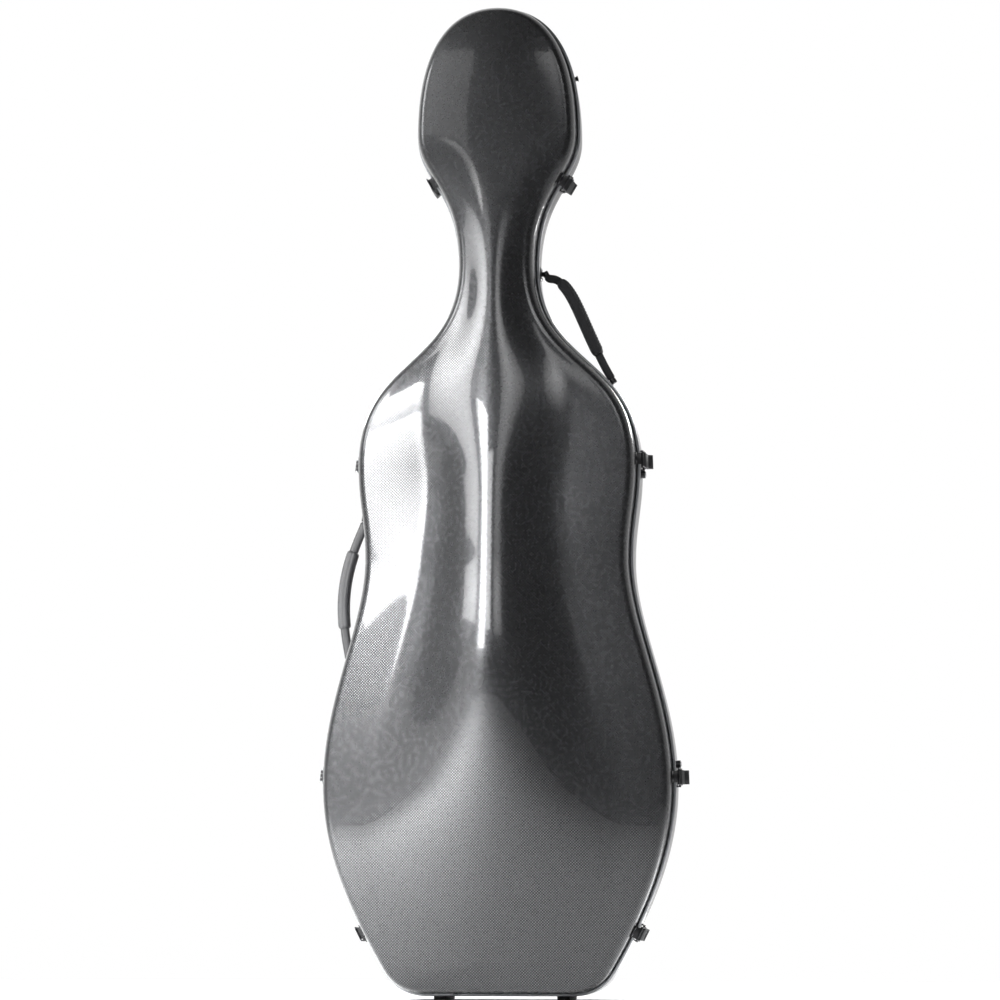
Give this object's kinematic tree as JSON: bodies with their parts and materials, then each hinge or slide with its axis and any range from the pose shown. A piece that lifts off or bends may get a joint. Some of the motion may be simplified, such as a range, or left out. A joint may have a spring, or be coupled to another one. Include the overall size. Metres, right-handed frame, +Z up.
{
  "type": "cello hard case",
  "caption": "Upright hard case for a cello: a ridged laminate lid hinged on a deeper back shell, with draw latches, carrying handles, strap rings and a padded inside.",
  "frame": {"origin": "middle of the box round the closed case, at the floor that its runners stand on", "axes": "+Z up along the case from its bottom to its head, -Y out of the lid, +X to the latches of the upper bout, as seen by someone who faces the lid on their right"},
  "size_m": [0.5062, 0.2984, 1.3663],
  "materials": {
    "laminate": "woven fibre laminate under a clear gloss coat",
    "bead": "smooth light grey",
    "dark_bead": "smooth dark grey",
    "dark_metal": "black, satin",
    "steel": "plated steel",
    "plastic": "moulded, fine grain",
    "rubber": "matt",
    "webbing": "woven webbing over padding",
    "lining": "short pile on foam"
  },
  "bodies": {
    "back": {"back_shell": "laminate", "back_rim": "dark_bead", "rim_seal": "rubber", "back_liner": "lining", "latch_base_head_left": "dark_metal", "latch_base_head_right": "dark_metal", "latch_base_upper_right": "dark_metal", "latch_base_lower_right": "dark_metal", "latch_base_corner_left": "dark_metal", "latch_base_corner_right": "dark_metal", "hinge_leaf_back_upper": "dark_metal", "hinge_pin_upper": "steel", "hinge_leaf_back_lower": "dark_metal", "hinge_pin_lower": "steel", "side_handle_bracket_low": "dark_metal", "side_handle_bracket_high": "dark_metal", "shoulder_strap_anchor_low": "dark_metal", "shoulder_strap_anchor_high": "dark_metal", "head_stud_left": "dark_metal", "head_stud_right": "dark_metal", "strap_plate_left": "dark_metal", "strap_plate_right": "dark_metal", "rubber_foot_left": "rubber", "rubber_foot_right": "rubber", "neck_cradle": "lining", "neck_strap": "webbing", "end_rest": "lining"},
    "lid": {"lid_shell": "laminate", "lid_rim": "bead", "lid_liner": "lining", "latch_keeper_head_left": "dark_metal", "latch_keeper_head_right": "dark_metal", "latch_keeper_upper_right": "dark_metal", "latch_keeper_lower_right": "dark_metal", "latch_keeper_corner_left": "dark_metal", "latch_keeper_corner_right": "dark_metal", "hinge_leaf_lid_upper": "dark_metal", "hinge_leaf_lid_lower": "dark_metal"},
    "lever_head_left": {"latch_lever_head_left": "dark_metal"},
    "bail_head_left": {"latch_bail_head_left": "steel"},
    "lever_head_right": {"latch_lever_head_right": "dark_metal"},
    "bail_head_right": {"latch_bail_head_right": "steel"},
    "lever_upper_right": {"latch_lever_upper_right": "dark_metal"},
    "bail_upper_right": {"latch_bail_upper_right": "steel"},
    "lever_lower_right": {"latch_lever_lower_right": "dark_metal"},
    "bail_lower_right": {"latch_bail_lower_right": "steel"},
    "lever_corner_left": {"latch_lever_corner_left": "dark_metal"},
    "bail_corner_left": {"latch_bail_corner_left": "steel"},
    "lever_corner_right": {"latch_lever_corner_right": "dark_metal"},
    "bail_corner_right": {"latch_bail_corner_right": "steel"},
    "lock_upper_right": {"lock_barrel_upper_right": "steel"},
    "lock_lower_right": {"lock_barrel_lower_right": "steel"},
    "side_handle": {"side_handle_core": "plastic", "side_handle_grip": "rubber"},
    "shoulder_strap": {"shoulder_strap": "webbing", "shoulder_strap_sleeve": "webbing"},
    "strap_ring_left": {"strap_ring_left": "steel"},
    "bow_clip_left": {"bow_clip_left": "plastic"},
    "strap_ring_right": {"strap_ring_right": "steel"},
    "bow_clip_right": {"bow_clip_right": "plastic"}
  },
  "joints": [
    {"name": "lid_hinge", "type": "hinge", "parent": "back", "child": "lid", "pos_m": [-0.24914, -0.01623, 0.30631], "axis": [-0.112, 0, -0.9937], "range_deg": [0, 110]},
    {"name": "lever_head_left_hinge", "type": "hinge", "parent": "back", "child": "lever_head_left", "pos_m": [-0.09579, -0.00283, 1.12119], "axis": [-0.5147, 0, 0.8574], "range_deg": [0, 120]},
    {"name": "bail_head_left_hinge", "type": "hinge", "parent": "lever_head_left", "child": "bail_head_left", "pos_m": [-0.0945, 0.00917, 1.12196], "axis": [-0.5147, 0, 0.8574], "range_deg": [-120, 0]},
    {"name": "lever_head_right_hinge", "type": "hinge", "parent": "back", "child": "lever_head_right", "pos_m": [0.09001, -0.00283, 1.12119], "axis": [-0.5147, 0, -0.8574], "range_deg": [0, 120]},
    {"name": "bail_head_right_hinge", "type": "hinge", "parent": "lever_head_right", "child": "bail_head_right", "pos_m": [0.08872, 0.00917, 1.12196], "axis": [-0.5147, 0, -0.8574], "range_deg": [-120, 0]},
    {"name": "lever_upper_right_hinge", "type": "hinge", "parent": "back", "child": "lever_upper_right", "pos_m": [0.19384, -0.00283, 0.73671], "axis": [0.028, 0, -0.9996], "range_deg": [0, 120]},
    {"name": "bail_upper_right_hinge", "type": "hinge", "parent": "lever_upper_right", "child": "bail_upper_right", "pos_m": [0.19234, 0.00917, 0.73666], "axis": [0.028, 0, -0.9996], "range_deg": [-120, 0]},
    {"name": "lever_lower_right_hinge", "type": "hinge", "parent": "back", "child": "lever_lower_right", "pos_m": [0.24218, -0.00283, 0.30277], "axis": [0.0358, 0, -0.9994], "range_deg": [0, 120]},
    {"name": "bail_lower_right_hinge", "type": "hinge", "parent": "lever_lower_right", "child": "bail_lower_right", "pos_m": [0.24068, 0.00917, 0.30271], "axis": [0.0358, 0, -0.9994], "range_deg": [-120, 0]},
    {"name": "lever_corner_left_hinge", "type": "hinge", "parent": "back", "child": "lever_corner_left", "pos_m": [-0.19405, -0.00283, 0.09068], "axis": [-0.4483, 0, 0.8939], "range_deg": [0, 120]},
    {"name": "bail_corner_left_hinge", "type": "hinge", "parent": "lever_corner_left", "child": "bail_corner_left", "pos_m": [-0.19271, 0.00917, 0.09136], "axis": [-0.4483, 0, 0.8939], "range_deg": [-120, 0]},
    {"name": "lever_corner_right_hinge", "type": "hinge", "parent": "back", "child": "lever_corner_right", "pos_m": [0.18826, -0.00283, 0.09068], "axis": [-0.4483, 0, -0.8939], "range_deg": [0, 120]},
    {"name": "bail_corner_right_hinge", "type": "hinge", "parent": "lever_corner_right", "child": "bail_corner_right", "pos_m": [0.18692, 0.00917, 0.09136], "axis": [-0.4483, 0, -0.8939], "range_deg": [-120, 0]},
    {"name": "lock_upper_right_turn", "type": "hinge", "parent": "back", "child": "lock_upper_right", "pos_m": [0.19354, 0.00847, 0.71859], "axis": [0.9996, 0, 0.028], "range_deg": [0, 90]},
    {"name": "lock_lower_right_turn", "type": "hinge", "parent": "back", "child": "lock_lower_right", "pos_m": [0.24073, 0.00847, 0.32083], "axis": [0.9994, 0, 0.0358], "range_deg": [0, 90]},
    {"name": "side_handle_hinge", "type": "hinge", "parent": "back", "child": "side_handle", "pos_m": [-0.21985, 0.01977, 0.46233], "axis": [0.114, 0, 0.9935], "range_deg": [-60, 60]},
    {"name": "shoulder_strap_hinge", "type": "hinge", "parent": "back", "child": "shoulder_strap", "pos_m": [0.15105, 0.01077, 0.84852], "axis": [-0.5291, 0, 0.8486], "range_deg": [-60, 60]},
    {"name": "strap_ring_left_hinge", "type": "hinge", "parent": "back", "child": "strap_ring_left", "pos_m": [-0.10912, 0.13491, 0.32971], "axis": [0.9754, 0.2205, 0], "range_deg": [0, 120]},
    {"name": "bow_clip_left_turn", "type": "hinge", "parent": "lid", "child": "bow_clip_left", "pos_m": [-0.06471, -0.1099, 0.46996], "axis": [0.5404, 0.831, -0.1318], "range_deg": [0, 90]},
    {"name": "strap_ring_right_hinge", "type": "hinge", "parent": "back", "child": "strap_ring_right", "pos_m": [0.10334, 0.13491, 0.32971], "axis": [0.9754, -0.2205, 0], "range_deg": [0, 120]},
    {"name": "bow_clip_right_turn", "type": "hinge", "parent": "lid", "child": "bow_clip_right", "pos_m": [0.05893, -0.1099, 0.46996], "axis": [-0.5404, 0.831, -0.1318], "range_deg": [0, 90]}
  ],
  "couplings": [
    {"joint": "bail_head_left_hinge", "follows": "lever_head_left_hinge", "ratio": -1},
    {"joint": "bail_head_right_hinge", "follows": "lever_head_right_hinge", "ratio": -1},
    {"joint": "bail_upper_right_hinge", "follows": "lever_upper_right_hinge", "ratio": -1},
    {"joint": "bail_lower_right_hinge", "follows": "lever_lower_right_hinge", "ratio": -1},
    {"joint": "bail_corner_left_hinge", "follows": "lever_corner_left_hinge", "ratio": -1},
    {"joint": "bail_corner_right_hinge", "follows": "lever_corner_right_hinge", "ratio": -1}
  ]
}
